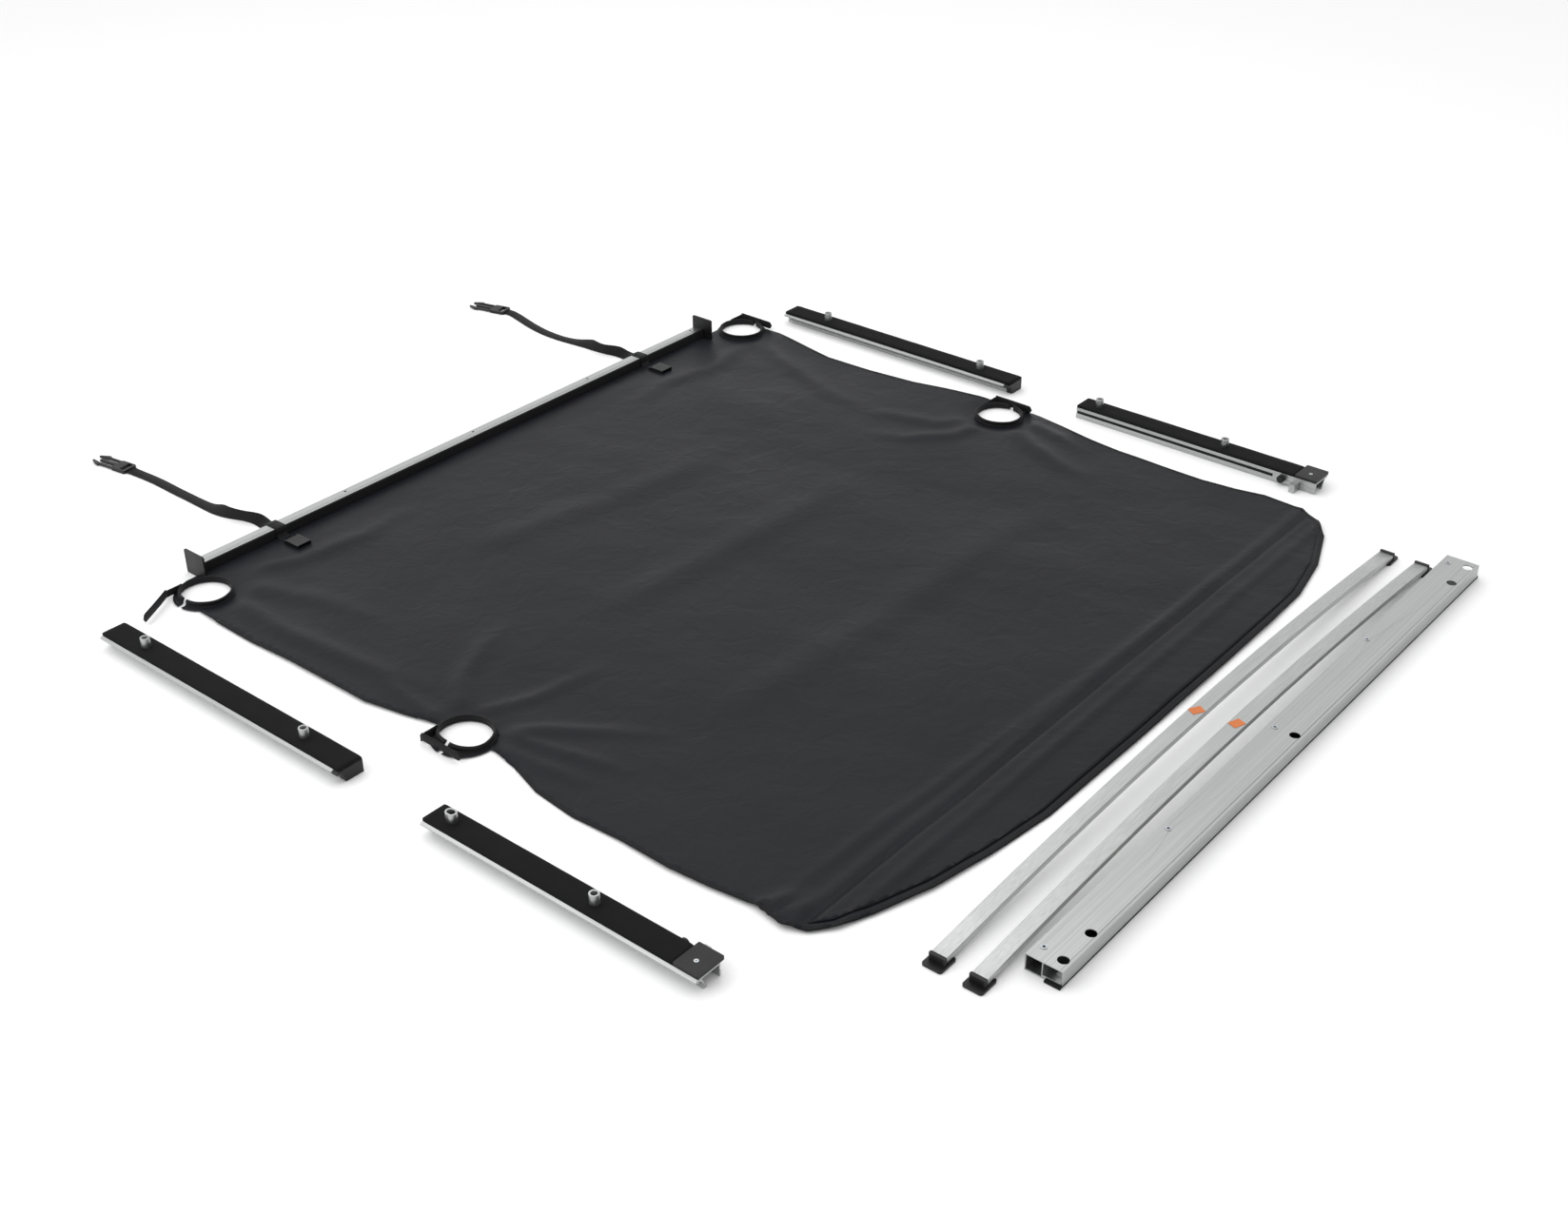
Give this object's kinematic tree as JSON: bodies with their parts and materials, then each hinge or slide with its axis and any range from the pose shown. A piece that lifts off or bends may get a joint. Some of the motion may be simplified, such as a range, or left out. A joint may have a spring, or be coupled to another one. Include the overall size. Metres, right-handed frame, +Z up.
{
  "type": "tonneau cover",
  "caption": "Soft tonneau cover kit laid flat: fabric cover on a front rail with straps and post collars, clamp-on side rails, arched bows and a header bar.",
  "frame": {"origin": "on the floor under the cover, on the middle of the front rail's length", "axes": "+X across the tray to its right side, +Y towards the cab, +Z up"},
  "size_m": [1.956, 2.445, 0.05],
  "materials": {
    "fabric": "satin coated fabric",
    "binding": "woven tape",
    "webbing": "woven webbing",
    "aluminium": "mill-finish extrusion",
    "bright_aluminium": "turned",
    "foam": "closed-cell foam",
    "black_plastic": "moulded, fine grain",
    "grey_plastic": "moulded, fine grain",
    "steel": "zinc plated",
    "seal": "matt rubber",
    "patch": "plain printed patch"
  },
  "bodies": {
    "cover": {"cover_sheet": "fabric", "edge_binding": "binding", "rear_pocket": "fabric", "collar_front_left": "fabric", "collar_front_right": "fabric", "collar_mid_left": "fabric", "collar_mid_right": "fabric", "front_rail": "aluminium", "front_hem": "binding", "end_plate_left": "black_plastic", "end_plate_right": "black_plastic", "strap_anchor_left": "webbing", "strap_anchor_right": "webbing", "socket_buckle_left": "black_plastic", "socket_buckle_right": "black_plastic", "strap_left": "webbing", "strap_right": "webbing", "prong_buckle_left": "black_plastic", "prong_buckle_right": "black_plastic"},
    "tab_fl": {"tab_front_left": "binding"},
    "tab_fr": {"tab_front_right": "binding"},
    "tab_ml": {"tab_mid_left": "binding"},
    "tab_mr": {"tab_mid_right": "binding"},
    "side_left_front": {"rail_left_front": "aluminium", "foam_left_front": "foam", "tubes_left_front": "bright_aluminium", "cap_left_front": "black_plastic"},
    "side_left_rear": {"rail_left_rear": "aluminium", "foam_left_rear": "foam", "tubes_left_rear": "bright_aluminium", "cover_plate_left": "grey_plastic", "plate_screw_left": "steel", "bush_left": "steel", "catch_left": "aluminium"},
    "release_left": {"plunger_left": "black_plastic"},
    "side_right_front": {"rail_right_front": "aluminium", "foam_right_front": "foam", "tubes_right_front": "bright_aluminium", "cap_right_front": "black_plastic"},
    "side_right_rear": {"rail_right_rear": "aluminium", "foam_right_rear": "foam", "tubes_right_rear": "bright_aluminium", "cover_plate_right": "grey_plastic", "plate_screw_right": "steel", "bush_right": "steel", "catch_right": "aluminium"},
    "release_right": {"plunger_right": "black_plastic"},
    "bow_front": {"bow_front_tube": "aluminium", "bow_front_caps": "black_plastic", "bow_front_patch": "patch"},
    "bow_rear": {"bow_rear_tube": "aluminium", "bow_rear_caps": "black_plastic", "bow_rear_patch": "patch"},
    "header": {"header_bar": "aluminium", "rivet_nuts": "steel", "header_seal": "seal"}
  },
  "joints": [
    {"name": "tab_front_left_hinge", "type": "hinge", "parent": "cover", "child": "tab_fl", "pos_m": [-0.80975, 0.6414, 0.0125], "axis": [0, 0, -1], "range_deg": [-60, 15]},
    {"name": "tab_front_right_hinge", "type": "hinge", "parent": "cover", "child": "tab_fr", "pos_m": [0.85675, 0.6594, 0.0125], "axis": [0, 0, 1], "range_deg": [0, 75]},
    {"name": "tab_mid_left_hinge", "type": "hinge", "parent": "cover", "child": "tab_ml", "pos_m": [-0.81775, -0.0716, 0.0125], "axis": [0, 0, -1], "range_deg": [0, 75]},
    {"name": "tab_mid_right_hinge", "type": "hinge", "parent": "cover", "child": "tab_mr", "pos_m": [0.85975, -0.0776, 0.0125], "axis": [0, 0, 1], "range_deg": [0, 75]},
    {"name": "side_left_front_lift", "type": "slide", "parent": "cover", "child": "side_left_front", "axis": [0, 0, 1], "range_m": [0, 0.1]},
    {"name": "side_left_rear_lift", "type": "slide", "parent": "cover", "child": "side_left_rear", "axis": [0, 0, 1], "range_m": [0, 0.1]},
    {"name": "side_right_front_lift", "type": "slide", "parent": "cover", "child": "side_right_front", "axis": [0, 0, 1], "range_m": [0, 0.1]},
    {"name": "side_right_rear_lift", "type": "slide", "parent": "cover", "child": "side_right_rear", "axis": [0, 0, 1], "range_m": [0, 0.1]},
    {"name": "bow_front_lift", "type": "slide", "parent": "cover", "child": "bow_front", "axis": [0, 0, 1], "range_m": [0, 0.1]},
    {"name": "bow_rear_lift", "type": "slide", "parent": "cover", "child": "bow_rear", "axis": [0, 0, 1], "range_m": [0, 0.1]},
    {"name": "header_lift", "type": "slide", "parent": "cover", "child": "header", "axis": [0, 0, 1], "range_m": [0, 0.1]},
    {"name": "release_left_pull", "type": "slide", "parent": "side_left_rear", "child": "release_left", "axis": [1, 0, 0], "range_m": [0, 0.006], "stiffness_N_per_m": 800},
    {"name": "release_right_pull", "type": "slide", "parent": "side_right_rear", "child": "release_right", "axis": [-1, 0, 0], "range_m": [0, 0.006], "stiffness_N_per_m": 800}
  ]
}
